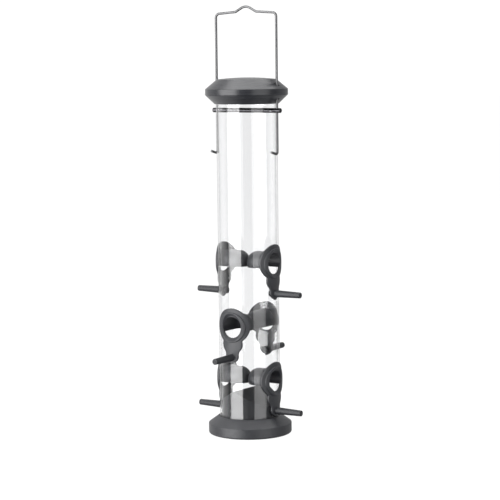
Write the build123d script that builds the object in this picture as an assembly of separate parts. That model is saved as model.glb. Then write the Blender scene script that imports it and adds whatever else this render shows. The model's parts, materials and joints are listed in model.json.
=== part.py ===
from build123d import *
import math
import os

# Hanging tube bird feeder: a clear tube in a cast base, with six seed ports, a lift-off
# cap and a wire bail that slides through a cross rod. Millimetres, +Z up, origin at the
# centre of the underside. X is the plane of the bail, the rod and the upper and lower
# ports. Y is the plane of the middle ports.

# ---- Driving dimensions ----
TUBE_R = 32.0
TUBE_WALL = 1.9
TUBE_BOTTOM = 8.0
TUBE_TOP = 368.3
TUBE_BORE = TUBE_R - TUBE_WALL

BASE_R = 44.0
BASE_RIM_Z = 10.8
BASE_LIP_R = 33.0
BASE_LIP_Z = 18.75
BASE_FLOOR = 2.5
BASE_WALL = 2.4
BASE_RIM_WALL = 3.2
BASE_EDGE_R = 2.0
BASE_TOP_EDGE_R = 0.8
SEAT_GAP = 0.08
DRAIN_R = 1.5
DRAIN_RING_R = 22.0

DEFLECTOR_R = TUBE_BORE - 0.1
RIDGE_Z = 47.8
EAVES_Z = 31.4
DEFLECTOR_WALL = 2.0
PERCH_BOSS_X = 20.0
STUD_BORE_X = 22.0
WEEP_R = 1.2
WEEP_X = 25.0

LEVELS = {"lower": 57.8, "middle": 116.2, "upper": 181.9}
PORT_AXES = {
    "lower": {"right": 0, "left": 180},
    "middle": {"back": 90, "front": 270},
    "upper": {"right": 0, "left": 180},
}
PERCH_DROP = 31.8

PLATE_INNER_R = TUBE_R + 0.05
PLATE_OUTER_R = 33.8
COLLAR_OUTER_R = 35.0
COLLAR_R = 15.8
COLLAR_BEVEL = 0.4
RING_R = 19.0
RING_RISE = 1.0
HOLE_R = 11.0
SINK_R = 14.9
SINK_FLOOR = 32.2
PLATE_EDGE_R = 0.5
OUTLINE_CORNER_R = 1.2
HOOD_R = 12.0
HOOD_WALL = 1.0
HOOD_SKIRT = 5.0
HOOD_SEAM = 0.2
HOOD_DOME_X = HOOD_R + HOOD_SEAM
HOOD_ROOT = 0.8
TUBE_PORT_R = 12.5

PERCH_TIP_X = 64.6
PERCH_TIP_R = 3.1
PERCH_ROOT_R = 3.9
PERCH_ROOT_X = 30.0
PERCH_END_ROUND = 0.6
DIMPLE_R = 1.5
DIMPLE_DEPTH = 0.5
STUD_R = 2.0
STUD_HOLE_R = 2.2
THREAD_GAP = 0.03
STUD_END_X = 27.6
NUT_R = 3.5
NUT_INNER_X = 26.9
NUT_ROUND = 0.5
NUT_GAP = 0.02

CAP_R = 43.3
CAP_EDGE_R = 33.65
CAP_EDGE_Z = 347.9
CAP_RIM_LOW = 357.2
CAP_RIM_HIGH = 363.3
CAP_TOP_R = 31.1
CAP_SHOULDER_Z = 373.4
CAP_DOME_Z = 375.2
CAP_WALL = 2.0
CAP_RIM_ROUND = 0.5
CAP_SHOULDER_ROUND = 1.2
CAP_PIT_R = 28.5
CAP_LEDGE_Z = TUBE_TOP + 0.1
SLEEVE_BORE = TUBE_R + 0.4
SLEEVE_WALL = 1.4
TONGUE_TOP = 361.0
TONGUE_WALL = 1.5
TONGUE_GAP = 0.05
SKIRT_INSET = 0.3
SLOT_RADIAL = 3.6
SLOT_WIDE = 5.0

ROD_Z = 341.0
ROD_R = 2.5
ROD_HALF = 42.6
ROD_END_ROUND = 1.0
ROD_HOLE_R = 1.45

WIRE_R = 1.3
WIRE_END_ROUND = 0.5
LEG_X = 37.7
LEG_BOTTOM = 295.4
BAIL_SHOULDER_Z = 441.5
BAIL_VALLEY_X = 12.8
BAIL_VALLEY_Z = 443.1
BAIL_APEX_Z = 449.9
BAIL_HUMP_R = 12.0
BAIL_VALLEY_R = 2.6
BAIL_CORNER_R = 4.4
HOOK_REACH = 11.5
HOOK_RISE = 3.0
HOOK_BEND_R = 2.5

SCREW_Y = 15.0
SCREW_R = 1.75
SCREW_LONG = 16.0
SCREW_HEAD_R = 3.4
SCREW_HEAD = 2.2
SCREW_HEAD_ROUND = 1.0
SCREW_CLEARANCE = 0.2
SCREW_BORE_TOP = 26.0
DRIVE_HALF = 2.2
DRIVE_WIDE = 0.8
DRIVE_DEEP = 1.0
BOSS_R = 4.2

# ---- Lengths of the tools that cut, past the solid on both sides ----
PAST = 1.0
WALL_NEAR = 20.0
WALL_FAR = 60.0
PORT_LOW = -45.0
PORT_HIGH = 30.0
NEAR = 0.01


def upright(radius, low, high):
    """Solid cylinder about Z between two heights."""
    return Pos(0, 0, low) * Cylinder(radius, high - low, align=(Align.CENTER, Align.CENTER, Align.MIN))


def rod_along_x(radius, start, end, z=0.0):
    """Solid cylinder along X between two places."""
    rod = Cylinder(radius, end - start, align=(Align.CENTER, Align.CENTER, Align.MIN))
    return Pos(start, 0, z) * Rot(0, 90, 0) * rod


def wall_cut(radius, z=0.0):
    """Cylinder along +X that cuts through one side of the tube and what is on it."""
    return rod_along_x(radius, WALL_NEAR, WALL_FAR, z)


def block(low, high):
    """Box between two corners."""
    size = [high[i] - low[i] for i in range(3)]
    return Pos(*low) * Box(*size, align=(Align.MIN, Align.MIN, Align.MIN))


def turned(lines):
    """Solid of revolution about Z of a closed (r, z) outline."""
    return revolve(Plane.XZ * make_face(lines), Axis.Z)


def polygon(points):
    """Closed outline of straight lines."""
    return Polyline(*points, close=True)


def circles(solid, radius):
    """Circular edges of one radius, from the lowest up."""
    edges = solid.edges().filter_by(GeomType.CIRCLE)
    return edges.filter_by(lambda edge: abs(edge.radius - radius) < NEAR).sort_by(Axis.Z)


def keep_one(shape):
    """The single solid that a boolean leaves."""
    return shape.solids()[0]


# ---- Body ----
def make_tube():
    tube = upright(TUBE_R, TUBE_BOTTOM, TUBE_TOP)
    tube -= upright(TUBE_BORE, TUBE_BOTTOM - PAST, TUBE_TOP + PAST)
    for level, hole_z in LEVELS.items():
        for angle in PORT_AXES[level].values():
            tube -= Rot(0, 0, angle) * wall_cut(TUBE_PORT_R, hole_z)
            tube -= Rot(0, 0, angle) * wall_cut(STUD_HOLE_R, hole_z - PERCH_DROP)
    tube -= rod_along_x(ROD_R + SEAT_GAP, -ROD_HALF, ROD_HALF, ROD_Z)
    return keep_one(tube)


def make_base():
    """Round foot: a cup for the tube inside a hollow rim with a sloping top."""
    floor_low = TUBE_BOTTOM - BASE_FLOOR
    seat_r = TUBE_R + SEAT_GAP
    cup_r = seat_r + BASE_WALL
    rim_inner = BASE_R - BASE_RIM_WALL
    slope = (BASE_LIP_Z - BASE_RIM_Z) / (BASE_R - BASE_LIP_R)
    drop = BASE_WALL / math.cos(math.atan(slope))
    cup_top = BASE_LIP_Z - (cup_r - BASE_LIP_R) * slope - drop
    rim_top = BASE_LIP_Z - (rim_inner - BASE_LIP_R) * slope - drop
    outline = polygon([
        (0, floor_low),
        (cup_r, floor_low),
        (cup_r, cup_top),
        (rim_inner, rim_top),
        (rim_inner, 0),
        (BASE_R, 0),
        (BASE_R, BASE_RIM_Z),
        (BASE_LIP_R, BASE_LIP_Z),
        (seat_r, BASE_LIP_Z),
        (seat_r, TUBE_BOTTOM),
        (0, TUBE_BOTTOM),
    ])
    base = turned(outline)
    base = fillet(circles(base, BASE_R)[0], BASE_EDGE_R)
    base = fillet(circles(base, BASE_R)[-1], BASE_TOP_EDGE_R)
    floor_top = TUBE_BOTTOM + PAST
    for side in (-1, 1):
        base -= Pos(0, side * SCREW_Y, 0) * upright(SCREW_R + SCREW_CLEARANCE, 0, floor_top)
    for quarter in range(4):
        base -= Rot(0, 0, 45 + 90 * quarter) * Pos(DRAIN_RING_R, 0, 0) * upright(DRAIN_R, 0, floor_top)
    return keep_one(base)


def roof(ridge, eaves_x, eaves):
    """Prism along Y under a roof whose ridge lies over the Y axis."""
    outline = polygon([
        (-eaves_x, TUBE_BOTTOM),
        (eaves_x, TUBE_BOTTOM),
        (eaves_x, eaves),
        (0, ridge),
        (-eaves_x, eaves),
    ])
    return extrude(Plane.XZ * make_face(outline), TUBE_R, both=True)


def make_seed_deflector():
    """Hollow plug with a gabled top that sheds the seed to the two lower ports."""
    outer = upright(DEFLECTOR_R, TUBE_BOTTOM, RIDGE_Z + PAST) & roof(RIDGE_Z, DEFLECTOR_R, EAVES_Z)
    slope = (RIDGE_Z - EAVES_Z) / DEFLECTOR_R
    drop = DEFLECTOR_WALL / math.cos(math.atan(slope))
    inner_r = DEFLECTOR_R - DEFLECTOR_WALL
    under_ridge = RIDGE_Z - drop
    hollow = upright(inner_r, TUBE_BOTTOM, RIDGE_Z)
    hollow &= roof(under_ridge, inner_r, under_ridge - slope * inner_r)
    plug = outer - hollow
    for side in (-1, 1):
        plug += Pos(0, side * SCREW_Y, 0) * upright(BOSS_R, TUBE_BOTTOM, RIDGE_Z - 2 * drop)
    perch_z = LEVELS["lower"] - PERCH_DROP
    bosses = rod_along_x(BOSS_R, -DEFLECTOR_R, DEFLECTOR_R, perch_z)
    bosses -= rod_along_x(BOSS_R + PAST, -PERCH_BOSS_X, PERCH_BOSS_X, perch_z)
    plug += bosses & upright(DEFLECTOR_R, TUBE_BOTTOM, RIDGE_Z)
    for side in (-1, 1):
        bore = upright(SCREW_R + THREAD_GAP, TUBE_BOTTOM - PAST, SCREW_BORE_TOP)
        plug -= Pos(0, side * SCREW_Y, 0) * bore
        plug -= Pos(side * WEEP_X, 0, 0) * upright(WEEP_R, perch_z + BOSS_R, RIDGE_Z)
    for start in (-TUBE_R, STUD_BORE_X):
        plug -= rod_along_x(STUD_R + THREAD_GAP, start, start + TUBE_R - STUD_BORE_X, perch_z)
    return keep_one(plug)


def make_base_screws():
    """Two pan-head screws up through the base floor into the deflector."""
    screws = []
    floor_low = TUBE_BOTTOM - BASE_FLOOR
    for side in (-1, 1):
        shank = upright(SCREW_R, floor_low, floor_low + SCREW_LONG)
        head = upright(SCREW_HEAD_R, floor_low - SCREW_HEAD, floor_low)
        head = fillet(head.edges().sort_by(Axis.Z)[0], SCREW_HEAD_ROUND)
        drive = block((-DRIVE_HALF, -DRIVE_WIDE / 2, -PAST), (DRIVE_HALF, DRIVE_WIDE / 2, DRIVE_DEEP))
        drive += Rot(0, 0, 90) * drive
        screw = shank + head - Pos(0, 0, floor_low - SCREW_HEAD) * drive
        screws.append(Pos(0, side * SCREW_Y, 0) * keep_one(screw))
    return Compound(children=screws)


# ---- Ports and perches, made along +X with the hole's centre at the origin ----
def plate_outline():
    """Ring with a scalloped stem that ends in a point under the perch."""
    shoulder = (10.9, -13.6)
    waist_top = (9.2, -24.4)
    waist_low = (7.6, -30.0)
    point_top = (4.6, -36.1)
    point_low = (1.2, -38.1)
    half = [
        ThreePointArc(shoulder, (11.8, -19.0), waist_top),
        ThreePointArc(waist_top, (7.7, -27.4), waist_low),
        ThreePointArc(waist_low, (7.0, -33.4), point_top),
        Line(point_top, point_low),
        ThreePointArc(point_low, (0.6, -38.4), (0, -38.5)),
    ]
    other = [edge.mirror(Plane.YZ) for edge in half]
    bridge = Line((-shoulder[0], shoulder[1]), shoulder)
    stem = make_face(Wire([*half, *other, bridge]))
    outline = Pos(0, RING_RISE) * Circle(RING_R) + stem
    return fillet(outline.vertices(), OUTLINE_CORNER_R)


def make_hood():
    """Half-pipe roof over the hole, with a domed inner end that reaches mid-tube."""
    outer = rod_along_x(HOOD_R, HOOD_DOME_X, WALL_FAR) + Pos(HOOD_DOME_X, 0, 0) * Sphere(HOOD_R)
    outer &= block((0, -TUBE_R, -HOOD_SKIRT), (WALL_FAR, TUBE_R, TUBE_R))
    outer &= upright(PLATE_INNER_R + HOOD_ROOT, PORT_LOW, PORT_HIGH)
    bore_r = HOOD_R - HOOD_WALL
    inner = rod_along_x(bore_r, HOOD_DOME_X, WALL_FAR) + Pos(HOOD_DOME_X, 0, 0) * Sphere(bore_r)
    return outer - inner


def curved_shell(outer_r):
    """Thin pipe about Z that the plates and collars are cut from."""
    return upright(outer_r, PORT_LOW, PORT_HIGH) - upright(PLATE_INNER_R, PORT_LOW, PORT_HIGH)


def edges_at_radius(solid, radius):
    """Edges that lie on a cylinder about Z."""
    def lies_on(point):
        return abs(math.hypot(point.X, point.Y) - radius) < NEAR
    return [edge for edge in solid.edges() if lies_on(edge @ 0.5) and lies_on(edge @ 0.1)]


def make_port():
    """Curved plate with a raised, countersunk collar round the hole and a hood behind it."""
    face = Plane.YZ * plate_outline()
    plate = extrude(face, WALL_FAR) & curved_shell(PLATE_OUTER_R)
    plate = fillet(edges_at_radius(plate, PLATE_OUTER_R), PLATE_EDGE_R)
    collar = wall_cut(COLLAR_R) & curved_shell(COLLAR_OUTER_R)
    collar = chamfer(edges_at_radius(collar, COLLAR_OUTER_R), COLLAR_BEVEL)
    widen = (SINK_R - HOLE_R) / (COLLAR_OUTER_R - SINK_FLOOR)
    depth = COLLAR_OUTER_R + PAST - SINK_FLOOR
    sink = Cone(HOLE_R, HOLE_R + depth * widen, depth, align=(Align.CENTER, Align.CENTER, Align.MIN))
    port = plate + collar - wall_cut(HOLE_R) - Pos(SINK_FLOOR, 0, 0) * Rot(0, 90, 0) * sink
    port += make_hood()
    port -= wall_cut(STUD_R + SEAT_GAP, -PERCH_DROP)
    return keep_one(port)


def make_perch():
    """Tapered peg with a reduced stud that passes through the plate and the tube."""
    length = PERCH_TIP_X - PERCH_ROOT_X
    taper = Cone(PERCH_ROOT_R, PERCH_TIP_R, length, align=(Align.CENTER, Align.CENTER, Align.MIN))
    peg = Pos(PERCH_ROOT_X, 0, 0) * Rot(0, 90, 0) * taper
    peg = fillet(peg.edges().sort_by(Axis.X)[-1], PERCH_END_ROUND)
    ball_r = (DIMPLE_R ** 2 + DIMPLE_DEPTH ** 2) / (2 * DIMPLE_DEPTH)
    peg -= Pos(PERCH_TIP_X - DIMPLE_DEPTH + ball_r, 0, 0) * Sphere(ball_r)
    peg -= upright(PLATE_OUTER_R, PORT_LOW, PORT_HIGH)
    peg += rod_along_x(STUD_R, STUD_END_X, PLATE_OUTER_R + PAST)
    return Pos(0, 0, -PERCH_DROP) * keep_one(peg)


def make_perch_nut():
    """Round nut that seats on the curve of the tube's bore."""
    nut = rod_along_x(NUT_R, NUT_INNER_X, TUBE_R)
    nut = fillet(nut.edges().sort_by(Axis.X)[0], NUT_ROUND)
    nut &= upright(TUBE_BORE - NUT_GAP, PORT_LOW, PORT_HIGH)
    nut -= wall_cut(STUD_R + THREAD_GAP)
    return Pos(0, 0, -PERCH_DROP) * keep_one(nut)


# ---- Cap ----
def bail_slots():
    """Two vertical slots that the bail's legs run through."""
    slots = Part()
    for side in (-1, 1):
        middle = side * LEG_X
        slots += block(
            (middle - SLOT_RADIAL / 2, -SLOT_WIDE / 2, CAP_EDGE_Z - PAST),
            (middle + SLOT_RADIAL / 2, SLOT_WIDE / 2, CAP_DOME_Z + PAST))
    return slots


def make_cap_top():
    """Upper shell: rim, sloping shoulder and a shallow dome over a ledge for the tube."""
    slope = (CAP_SHOULDER_Z - CAP_RIM_HIGH) / (CAP_R - CAP_TOP_R)
    drop = CAP_WALL / math.cos(math.atan(slope))
    rim_inner = CAP_R - CAP_WALL
    rim_roof = CAP_RIM_HIGH + CAP_WALL * slope - drop
    ledge_r = CAP_TOP_R + (CAP_SHOULDER_Z - drop - CAP_LEDGE_Z) / slope
    crown = CAP_DOME_Z - CAP_SHOULDER_Z
    dome_r = (CAP_TOP_R ** 2 + crown ** 2) / (2 * crown)
    half_way = CAP_TOP_R / 2
    dome_mid = CAP_DOME_Z - dome_r + math.sqrt(dome_r ** 2 - half_way ** 2)
    pit_z = CAP_SHOULDER_Z - CAP_WALL
    outline = [
        Line((0, CAP_DOME_Z - CAP_WALL), (CAP_PIT_R, pit_z)),
        Line((CAP_PIT_R, pit_z), (CAP_PIT_R, CAP_LEDGE_Z)),
        Line((CAP_PIT_R, CAP_LEDGE_Z), (ledge_r, CAP_LEDGE_Z)),
        Line((ledge_r, CAP_LEDGE_Z), (rim_inner, rim_roof)),
        Line((rim_inner, rim_roof), (rim_inner, CAP_RIM_LOW)),
        Line((rim_inner, CAP_RIM_LOW), (CAP_R, CAP_RIM_LOW)),
        Line((CAP_R, CAP_RIM_LOW), (CAP_R, CAP_RIM_HIGH)),
        Line((CAP_R, CAP_RIM_HIGH), (CAP_TOP_R, CAP_SHOULDER_Z)),
        ThreePointArc((CAP_TOP_R, CAP_SHOULDER_Z), (half_way, dome_mid), (0, CAP_DOME_Z)),
        Line((0, CAP_DOME_Z), (0, CAP_DOME_Z - CAP_WALL)),
    ]
    cap = turned(Wire(outline))
    cap = fillet(circles(cap, CAP_R), CAP_RIM_ROUND)
    cap = fillet(circles(cap, CAP_TOP_R)[-1], CAP_SHOULDER_ROUND)
    return keep_one(cap - bail_slots())


def make_cap_skirt():
    """Lower shell: sloping underside with an inner sleeve that guides on the tube."""
    slope = (CAP_RIM_LOW - CAP_EDGE_Z) / (CAP_R - CAP_EDGE_R)
    rise = CAP_WALL / math.cos(math.atan(slope))
    sleeve_r = SLEEVE_BORE + SLEEVE_WALL
    tongue_r = CAP_R - CAP_WALL - TONGUE_GAP
    tongue_inner = tongue_r - TONGUE_WALL
    rim_edge = CAP_R - SKIRT_INSET
    outline = polygon([
        (SLEEVE_BORE, CAP_EDGE_Z),
        (CAP_EDGE_R, CAP_EDGE_Z),
        (rim_edge, CAP_RIM_LOW - SKIRT_INSET * slope),
        (rim_edge, CAP_RIM_LOW),
        (tongue_r, CAP_RIM_LOW),
        (tongue_r, TONGUE_TOP),
        (tongue_inner, TONGUE_TOP),
        (tongue_inner, CAP_EDGE_Z + (tongue_inner - CAP_EDGE_R) * slope + rise),
        (sleeve_r, CAP_EDGE_Z + (sleeve_r - CAP_EDGE_R) * slope + rise),
        (sleeve_r, CAP_LEDGE_Z),
        (SLEEVE_BORE, CAP_LEDGE_Z),
    ])
    return keep_one(turned(outline) - bail_slots())


# ---- Hanger ----
def make_cross_rod():
    """Round rod through the tube, cross-drilled for the bail's legs."""
    rod = rod_along_x(ROD_R, -ROD_HALF, ROD_HALF)
    ends = rod.edges().sort_by(Axis.X)
    rod = fillet([ends[0], ends[-1]], ROD_END_ROUND)
    for side in (-1, 1):
        rod -= Pos(side * LEG_X, 0, 0) * upright(ROD_HOLE_R, -ROD_R - PAST, ROD_R + PAST)
    return Pos(0, 0, ROD_Z) * keep_one(rod)


def make_bail():
    """Bent wire: two legs with hooks at the foot, and a top bar with a hanging hump."""
    half = [
        (LEG_X, -HOOK_REACH, LEG_BOTTOM + HOOK_RISE),
        (LEG_X, 0, LEG_BOTTOM),
        (LEG_X, 0, BAIL_SHOULDER_Z),
        (BAIL_VALLEY_X, 0, BAIL_VALLEY_Z),
    ]
    radii = [HOOK_BEND_R, BAIL_CORNER_R, BAIL_VALLEY_R]
    apex = (0, 0, BAIL_APEX_Z)
    mirrored = [(-x, y, z) for x, y, z in reversed(half)]
    path = FilletPolyline(*half, apex, *mirrored, radius=[*radii, BAIL_HUMP_R, *reversed(radii)])
    start = Plane(origin=path @ 0, z_dir=path % 0)
    wire = sweep(start * Circle(WIRE_R), path=path)
    tips = [wire.faces().sort_by_distance(end)[0].edges()[0] for end in (path @ 0, path @ 1)]
    return keep_one(fillet(tips, WIRE_END_ROUND))


def build_nodes():
    nodes = {
        "tube": make_tube(),
        "base": make_base(),
        "seed_deflector": make_seed_deflector(),
        "base_screws": make_base_screws(),
        "cap_top": make_cap_top(),
        "cap_skirt": make_cap_skirt(),
        "cross_rod": make_cross_rod(),
        "bail": make_bail(),
    }
    port = make_port()
    perch = make_perch()
    nut = make_perch_nut()
    for level, hole_z in LEVELS.items():
        for side, angle in PORT_AXES[level].items():
            place = Rot(0, 0, angle) * Pos(0, 0, hole_z)
            nodes[f"port_{level}_{side}"] = place * port
            nodes[f"perch_{level}_{side}"] = place * perch
            if level != "lower":
                nodes[f"perch_nut_{level}_{side}"] = place * nut
    return nodes


def write_nodes():
    os.makedirs("parts", exist_ok=True)
    for name, solid in build_nodes().items():
        export_step(solid, f"parts/{name}.step")
        print(name, round(solid.volume))


write_nodes()
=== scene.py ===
import json
import math

import bpy
from mathutils import Matrix, Vector

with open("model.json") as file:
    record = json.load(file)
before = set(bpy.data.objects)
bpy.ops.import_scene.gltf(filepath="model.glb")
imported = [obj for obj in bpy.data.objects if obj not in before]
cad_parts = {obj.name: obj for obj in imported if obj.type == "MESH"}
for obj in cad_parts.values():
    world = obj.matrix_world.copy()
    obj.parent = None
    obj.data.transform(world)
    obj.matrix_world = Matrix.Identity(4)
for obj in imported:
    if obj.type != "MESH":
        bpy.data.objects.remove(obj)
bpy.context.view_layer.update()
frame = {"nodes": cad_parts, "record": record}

NODES = frame["nodes"]
SCENE = bpy.context.scene

# ---- Camera: metres and degrees, the lens in millimetres ----
VIEW_AZIMUTH = 34.0
VIEW_DISTANCE = 1.904
VIEW_HEIGHT = 0.3968
VIEW_ROLL = 0.65
LENS = 130.96
SENSOR = 36.0
CLIP_END = 100.0
AIM_RIGHT = 0.00175
AIM_HEIGHT = 0.19425

# ---- Studio: azimuths are from the camera's own, right is positive ----
SOFTBOX_DISTANCE = 1.5
SOFTBOX_TALL = 2.4
SOFTBOX_HEIGHT = 0.45
# Each softbox: azimuth from, azimuth to, level.
LEFT_BOX = (-80.0, -28.0, 5.8)
RIGHT_BOX = (17.0, 64.0, 1.8)
TOP_SIZE = 1.8
TOP_HEIGHT = 2.0
TOP_RIGHT = 0.15
TOP_BACK = 0.4
TOP_LEVEL = 3.4
BACKDROP_LEVEL = 1.08
ROOM_LEVEL = 0.06
BACK_LEFT_LEVEL = 1.0
BACK_RIGHT_LEVEL = 0.45
# Where the room's reflection fades, in parts of the way to the right and to the back.
SIDE_FADE = (-0.5, 0.5)
BACK_FADE = (-0.1, 0.2)
FLOOR_SIZE = 30.0
FLOOR_DROP = 0.0002
FLOOR_GLOW = 0.96
FLOOR_COLOUR = (0.06, 0.06, 0.06)
WHITE = (1.0, 1.0, 1.0, 1.0)

# ---- Finishes, linear colours ----
CAST_COLOUR = (0.0165, 0.017, 0.020)
CAST_WORN = (0.040, 0.042, 0.047)
CAP_COLOUR = (0.0105, 0.011, 0.0135)
CAP_WORN = (0.034, 0.036, 0.041)
DARK_COLOUR = (0.011, 0.0115, 0.0135)
STEEL_COLOUR = (0.17, 0.17, 0.174)
ROD_COLOUR = (0.055, 0.054, 0.058)
TUBE_TINT = (0.984, 0.985, 0.987)
# Rim colour: partly the longer path through the wall, partly painted shade standing in for
# refraction's dark edge.
TUBE_RIM_PAINTED_SHADE = (0.83, 0.83, 0.84)

# ---- Finishes, roughness from and to ----
CAST_ROUGH = (0.40, 0.50)
CAP_ROUGH = (0.25, 0.33)
PERCH_ROUGH = (0.50, 0.60)
DEFLECTOR_ROUGH = (0.45, 0.60)
NUT_ROUGH = (0.35, 0.50)
ROD_ROUGH = (0.10, 0.22)
WIRE_ROUGH = (0.42, 0.50)
SCREW_ROUGH = (0.20, 0.35)
TUBE_ROUGH = (0.02, 0.04)

# ---- Patterns: repeats per metre, shares from 0 to 1 and depths in metres ----
MOTTLE_SCALE = 60.0
MOTTLE_SHARE = 0.30
CHIP_SCALE = 420.0
CHIP_SHARE = (0.15, 0.75)
GRAIN_SCALE = 900.0
PEEL_SCALE = 1300.0
PEEL_STRENGTH = 0.22
PEEL_DEPTH = 0.0002
EDGE_R = 0.0005
FINE_EDGE_R = 0.0003
EDGE_SAMPLES = 6
EDGE_TURN = (0.80, 0.985)
TARNISH_SCALE = 30.0
TARNISH_SHARE = 0.6
TARNISH_DARKEN = 0.7
WIRE_GRAIN_SCALE = 40.0
TUBE_LINE_SCALE = 160.0

# ---- Tube: how much it reflects seen square on, and how fast that grows to its rim ----
HEAD_ON = 0.041
GRAZING_POWER = 5.0
# Facing value where the tube's painted rim shade begins.
RIM_SHADE_START = 0.65

# ---- How far a pattern is drawn out: evenly, up the tube, around the turned cap ----
EVEN = (1.0, 1.0, 1.0)
DRAWN = (1.0, 1.0, 0.02)
TURNED = (0.03, 0.03, 9.0)


# ---- Node helpers ----
def new_material(name):
    """Empty node material with its output node."""
    material = bpy.data.materials.new(name)
    material.use_nodes = True
    material.node_tree.nodes.clear()
    output = material.node_tree.nodes.new("ShaderNodeOutputMaterial")
    return material, material.node_tree, output


def add(tree, kind, **settings):
    """New node. Names that are inputs set their default, others set a property."""
    node = tree.nodes.new(kind)
    for name, value in settings.items():
        label = name.replace("_", " ").title() if name.islower() else name
        if label in node.inputs:
            node.inputs[label].default_value = value
        else:
            setattr(node, name, value)
    return node


def noise(tree, vector, scale, detail):
    """Cloudy pattern from 0 to 1."""
    node = add(tree, "ShaderNodeTexNoise", scale=scale, detail=detail)
    tree.links.new(vector, node.inputs["Vector"])
    return node.outputs["Fac"]


def spread(tree, value, low, high, from_low=0.3, from_high=0.7):
    """Maps a 0 to 1 pattern onto a range."""
    node = tree.nodes.new("ShaderNodeMapRange")
    node.inputs["From Min"].default_value = from_low
    node.inputs["From Max"].default_value = from_high
    node.inputs["To Min"].default_value = low
    node.inputs["To Max"].default_value = high
    tree.links.new(value, node.inputs["Value"])
    return node.outputs["Result"]


def mix_colour(tree, factor, first, second):
    """Blends two colours, each a socket or a plain colour.

    A Mix node's colours are its inputs 6 and 7 and its output 2.
    """
    node = tree.nodes.new("ShaderNodeMix")
    node.data_type = "RGBA"
    tree.links.new(factor, node.inputs["Factor"])
    for socket, value in ((node.inputs[6], first), (node.inputs[7], second)):
        if hasattr(value, "is_linked"):
            tree.links.new(value, socket)
        else:
            socket.default_value = (*value, 1.0)
    return node.outputs[2]


def object_coordinates(tree):
    """Position in the part's own frame, in metres."""
    return tree.nodes.new("ShaderNodeTexCoord").outputs["Object"]


def stretched(tree, vector, scale):
    """Coordinates scaled by axis, which draws a pattern out along the small ones."""
    node = tree.nodes.new("ShaderNodeMapping")
    node.inputs["Scale"].default_value = scale
    tree.links.new(vector, node.inputs["Vector"])
    return node.outputs["Vector"]


def edge_wear(tree, radius):
    """1 on sharp edges and 0 on open faces, from how far a rounded normal turns."""
    rounded = add(tree, "ShaderNodeBevel", samples=EDGE_SAMPLES)
    rounded.inputs["Radius"].default_value = radius
    geometry = tree.nodes.new("ShaderNodeNewGeometry")
    turn = add(tree, "ShaderNodeVectorMath", operation="DOT_PRODUCT")
    tree.links.new(rounded.outputs["Normal"], turn.inputs[0])
    tree.links.new(geometry.outputs["Normal"], turn.inputs[1])
    return spread(tree, turn.outputs["Value"], 1.0, 0.0, *EDGE_TURN)


def bump(tree, height, normal):
    """Raises a height pattern on a normal, to the orange peel's strength and depth."""
    node = tree.nodes.new("ShaderNodeBump")
    node.inputs["Strength"].default_value = PEEL_STRENGTH
    node.inputs["Distance"].default_value = PEEL_DEPTH
    tree.links.new(height, node.inputs["Height"])
    tree.links.new(normal, node.inputs["Normal"])
    return node.outputs["Normal"]


# ---- Materials ----
def satin_casting(name, colour, worn, rough, edge=EDGE_R, draw=EVEN):
    """Powder-coated casting: fine orange peel, soft mottling and paler edges."""
    material, tree, output = new_material(name)
    place = object_coordinates(tree)
    shader = tree.nodes.new("ShaderNodeBsdfPrincipled")
    mottle = noise(tree, stretched(tree, place, draw), MOTTLE_SCALE, 4.0)
    shade = spread(tree, mottle, 0.0, MOTTLE_SHARE)
    wear = edge_wear(tree, edge)
    broken = noise(tree, place, CHIP_SCALE, 3.0)
    patchy = add(tree, "ShaderNodeMath", operation="MULTIPLY")
    tree.links.new(wear, patchy.inputs[0])
    tree.links.new(spread(tree, broken, *CHIP_SHARE), patchy.inputs[1])
    base = mix_colour(tree, shade, colour, worn)
    tree.links.new(mix_colour(tree, patchy.outputs[0], base, worn), shader.inputs["Base Color"])
    grain = noise(tree, stretched(tree, place, draw), GRAIN_SCALE, 2.0)
    tree.links.new(spread(tree, grain, *rough), shader.inputs["Roughness"])
    rounded = add(tree, "ShaderNodeBevel", samples=EDGE_SAMPLES)
    rounded.inputs["Radius"].default_value = edge
    peel = noise(tree, place, PEEL_SCALE, 2.0)
    tree.links.new(bump(tree, peel, rounded.outputs["Normal"]), shader.inputs["Normal"])
    tree.links.new(shader.outputs["BSDF"], output.inputs["Surface"])
    return material


def drawn_wire(name, colour, rough):
    """Drawn steel wire with slight tarnish."""
    material, tree, output = new_material(name)
    place = object_coordinates(tree)
    shader = tree.nodes.new("ShaderNodeBsdfPrincipled")
    shader.inputs["Metallic"].default_value = 1.0
    tarnish = spread(tree, noise(tree, place, TARNISH_SCALE, 2.0), 0.0, TARNISH_SHARE)
    darker = tuple(channel * TARNISH_DARKEN for channel in colour)
    tree.links.new(mix_colour(tree, tarnish, colour, darker), shader.inputs["Base Color"])
    grain = noise(tree, place, WIRE_GRAIN_SCALE, 2.0)
    tree.links.new(spread(tree, grain, *rough), shader.inputs["Roughness"])
    tree.links.new(shader.outputs["BSDF"], output.inputs["Surface"])
    return material


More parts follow.
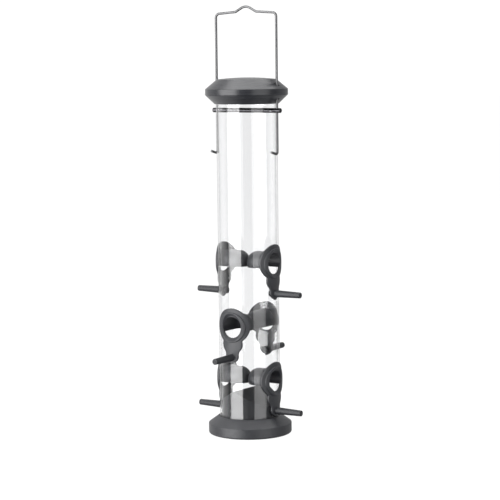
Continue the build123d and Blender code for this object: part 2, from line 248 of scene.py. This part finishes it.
def clear_tube():
    """Clear extruded tube: transparent with gloss on top, and greyer at its rim: partly the longer
    path through the wall, partly painted shade standing in for refraction's dark edge.
    """
    material, tree, output = new_material("clear_tube")
    place = object_coordinates(tree)
    through = tree.nodes.new("ShaderNodeBsdfTransparent")
    facing = tree.nodes.new("ShaderNodeLayerWeight")
    facing.inputs["Blend"].default_value = 0.5
    # Painted shade: the see-through colour greys towards the rim, partly for the longer path
    # through the wall, partly in place of refraction's dark edge.
    painted_rim_shade = spread(tree, facing.outputs["Facing"], 0.0, 1.0, RIM_SHADE_START, 1.0)
    tree.links.new(mix_colour(tree, painted_rim_shade, TUBE_TINT, TUBE_RIM_PAINTED_SHADE), through.inputs["Color"])
    gloss = tree.nodes.new("ShaderNodeBsdfGlossy")
    gloss.inputs["Color"].default_value = WHITE
    lines = noise(tree, stretched(tree, place, DRAWN), TUBE_LINE_SCALE, 2.0)
    tree.links.new(spread(tree, lines, *TUBE_ROUGH), gloss.inputs["Roughness"])
    grazing = add(tree, "ShaderNodeMath", operation="POWER")
    grazing.inputs[1].default_value = GRAZING_POWER
    tree.links.new(facing.outputs["Facing"], grazing.inputs[0])
    mix = tree.nodes.new("ShaderNodeMixShader")
    tree.links.new(spread(tree, grazing.outputs[0], HEAD_ON, 1.0, 0.0, 1.0), mix.inputs["Fac"])
    tree.links.new(through.outputs["BSDF"], mix.inputs[1])
    tree.links.new(gloss.outputs["BSDF"], mix.inputs[2])
    tree.links.new(mix.outputs["Shader"], output.inputs["Surface"])
    return material


def floor_material():
    """White light table: glows evenly and takes only a faint shadow."""
    material, tree, output = new_material("studio_floor")
    shader = tree.nodes.new("ShaderNodeBsdfPrincipled")
    shader.inputs["Base Color"].default_value = (*FLOOR_COLOUR, 1.0)
    shader.inputs["Specular IOR Level"].default_value = 0.0
    shader.inputs["Emission Color"].default_value = WHITE
    shader.inputs["Emission Strength"].default_value = FLOOR_GLOW
    tree.links.new(shader.outputs["BSDF"], output.inputs["Surface"])
    return material


def dress_nodes():
    """Gives every CAD node its finished material."""
    finishes = {
        "clear_tube": clear_tube(),
        "cast_grey": satin_casting("cast_grey", CAST_COLOUR, CAST_WORN, CAST_ROUGH),
        "cap_grey": satin_casting("cap_grey", CAP_COLOUR, CAP_WORN, CAP_ROUGH, draw=TURNED),
        "perch_grey": satin_casting("perch_grey", CAP_COLOUR, CAP_WORN, PERCH_ROUGH, FINE_EDGE_R),
        "deflector_grey": satin_casting("deflector_grey", DARK_COLOUR, CAP_COLOUR, DEFLECTOR_ROUGH),
        "nut_dark": satin_casting("nut_dark", DARK_COLOUR, CAP_WORN, NUT_ROUGH, FINE_EDGE_R),
        "dark_steel": drawn_wire("dark_steel", ROD_COLOUR, ROD_ROUGH),
        "wire_steel": drawn_wire("wire_steel", STEEL_COLOUR, WIRE_ROUGH),
        "screw_steel": drawn_wire("screw_steel", STEEL_COLOUR, SCREW_ROUGH),
    }
    for entry in frame["record"]["subparts"]:
        mesh = NODES[entry["node"]].data
        mesh.materials.clear()
        mesh.materials.append(finishes[entry["material_slot"]])


# ---- Studio ----
def around(azimuth, distance, height):
    """Point at an azimuth from the camera's own, positive to the camera's right."""
    angle = math.radians(VIEW_AZIMUTH + azimuth)
    return Vector((math.sin(angle) * distance, -math.cos(angle) * distance, height))


def make_camera():
    """Long lens from the front right, aimed near the middle of the feeder."""
    data = bpy.data.cameras.new("camera")
    data.lens = LENS
    data.sensor_width = SENSOR
    data.clip_end = CLIP_END
    camera = bpy.data.objects.new("camera", data)
    SCENE.collection.objects.link(camera)
    place = around(0.0, VIEW_DISTANCE, VIEW_HEIGHT)
    aim = around(90.0, AIM_RIGHT, AIM_HEIGHT)
    look = aim - place
    turn = look.to_track_quat("-Z", "Y").to_matrix().to_4x4()
    roll = Matrix.Rotation(math.radians(-VIEW_ROLL), 4, "Z")
    camera.matrix_world = Matrix.Translation(place) @ turn @ roll
    SCENE.camera = camera


def make_softbox(name, low, high, level):
    """Tall panel that fills the azimuths from low to high and faces the tube."""
    data = bpy.data.lights.new(name, "AREA")
    data.shape = "RECTANGLE"
    data.size = 2 * SOFTBOX_DISTANCE * math.tan(math.radians((high - low) / 2))
    data.size_y = SOFTBOX_TALL
    data.energy = level * math.pi * data.size * data.size_y
    light = bpy.data.objects.new(name, data)
    SCENE.collection.objects.link(light)
    light.location = around((low + high) / 2, SOFTBOX_DISTANCE, SOFTBOX_HEIGHT)
    look = Vector((0.0, 0.0, SOFTBOX_HEIGHT)) - light.location
    light.rotation_mode = "QUATERNION"
    light.rotation_quaternion = look.to_track_quat("-Z", "Y")
    light.visible_camera = False


def make_top_light():
    """Broad panel overhead, a little to the right and behind."""
    data = bpy.data.lights.new("top_light", "AREA")
    data.size = TOP_SIZE
    data.energy = TOP_LEVEL * math.pi * TOP_SIZE ** 2
    light = bpy.data.objects.new("top_light", data)
    SCENE.collection.objects.link(light)
    light.location = around(90.0, TOP_RIGHT, 0.0) + around(180.0, TOP_BACK, TOP_HEIGHT)
    light.rotation_euler.z = math.radians(VIEW_AZIMUTH)
    light.visible_camera = False


def toward(tree, azimuth):
    """How far a direction in the sky points towards an azimuth, from -1 to 1."""
    place = tree.nodes.new("ShaderNodeTexCoord")
    turn = add(tree, "ShaderNodeVectorMath", operation="DOT_PRODUCT")
    tree.links.new(place.outputs["Generated"], turn.inputs[0])
    turn.inputs[1].default_value = around(azimuth, 1.0, 0.0)
    return turn.outputs["Value"]


def make_world():
    """White room. Reflections see a dim front and a backdrop that fades to the right."""
    world = bpy.data.worlds.new("studio")
    world.use_nodes = True
    tree = world.node_tree
    tree.nodes.clear()
    side = spread(tree, toward(tree, 90.0), BACK_LEFT_LEVEL, BACK_RIGHT_LEVEL, *SIDE_FADE)
    behind = spread(tree, toward(tree, 180.0), 0.0, 1.0, *BACK_FADE)
    mirrored = tree.nodes.new("ShaderNodeMix")
    mirrored.inputs["A"].default_value = ROOM_LEVEL
    tree.links.new(behind, mirrored.inputs["Factor"])
    tree.links.new(side, mirrored.inputs["B"])
    ray = tree.nodes.new("ShaderNodeLightPath")
    level = tree.nodes.new("ShaderNodeMix")
    level.inputs["A"].default_value = BACKDROP_LEVEL
    tree.links.new(ray.outputs["Is Glossy Ray"], level.inputs["Factor"])
    tree.links.new(mirrored.outputs["Result"], level.inputs["B"])
    background = tree.nodes.new("ShaderNodeBackground")
    background.inputs["Color"].default_value = WHITE
    tree.links.new(level.outputs["Result"], background.inputs["Strength"])
    output = tree.nodes.new("ShaderNodeOutputWorld")
    tree.links.new(background.outputs["Background"], output.inputs["Surface"])
    SCENE.world = world


def make_floor():
    """Square floor just under the base's foot."""
    mesh = bpy.data.meshes.new("floor")
    half = FLOOR_SIZE / 2
    corners = [(-half, -half, 0), (half, -half, 0), (half, half, 0), (-half, half, 0)]
    mesh.from_pydata(corners, [], [(0, 1, 2, 3)])
    floor = bpy.data.objects.new("floor", mesh)
    floor.location.z = -FLOOR_DROP
    floor.visible_glossy = False
    SCENE.collection.objects.link(floor)
    mesh.materials.append(floor_material())


SCENE.view_settings.view_transform = "Standard"
make_camera()
make_world()
make_softbox("left_softbox", *LEFT_BOX)
make_softbox("right_softbox", *RIGHT_BOX)
make_top_light()
make_floor()
dress_nodes()
